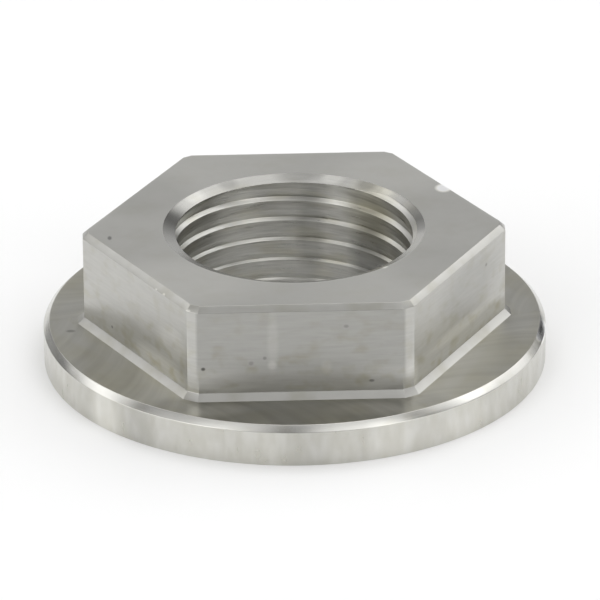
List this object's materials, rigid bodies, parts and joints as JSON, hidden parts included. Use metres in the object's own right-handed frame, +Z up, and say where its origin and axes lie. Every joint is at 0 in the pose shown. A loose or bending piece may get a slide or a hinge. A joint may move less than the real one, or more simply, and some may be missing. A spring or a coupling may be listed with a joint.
{
  "type": "flanged hex nut",
  "caption": "Low flanged hex nut with a fine right-hand threaded through-bore, chamfered hexagon and round chamfered flange.",
  "frame": {"origin": "centre of the flange's underside, on the bore's axis", "axes": "+Z up the bore from the flange towards the hexagon; one wrench flat faces -Y"},
  "size_m": [0.0285, 0.0284, 0.0079],
  "materials": {
    "machined_steel": "bare machined stainless steel, satin with fine tool marks"
  },
  "bodies": {
    "root": {"flange_nut": "machined_steel"}
  },
  "joints": []
}
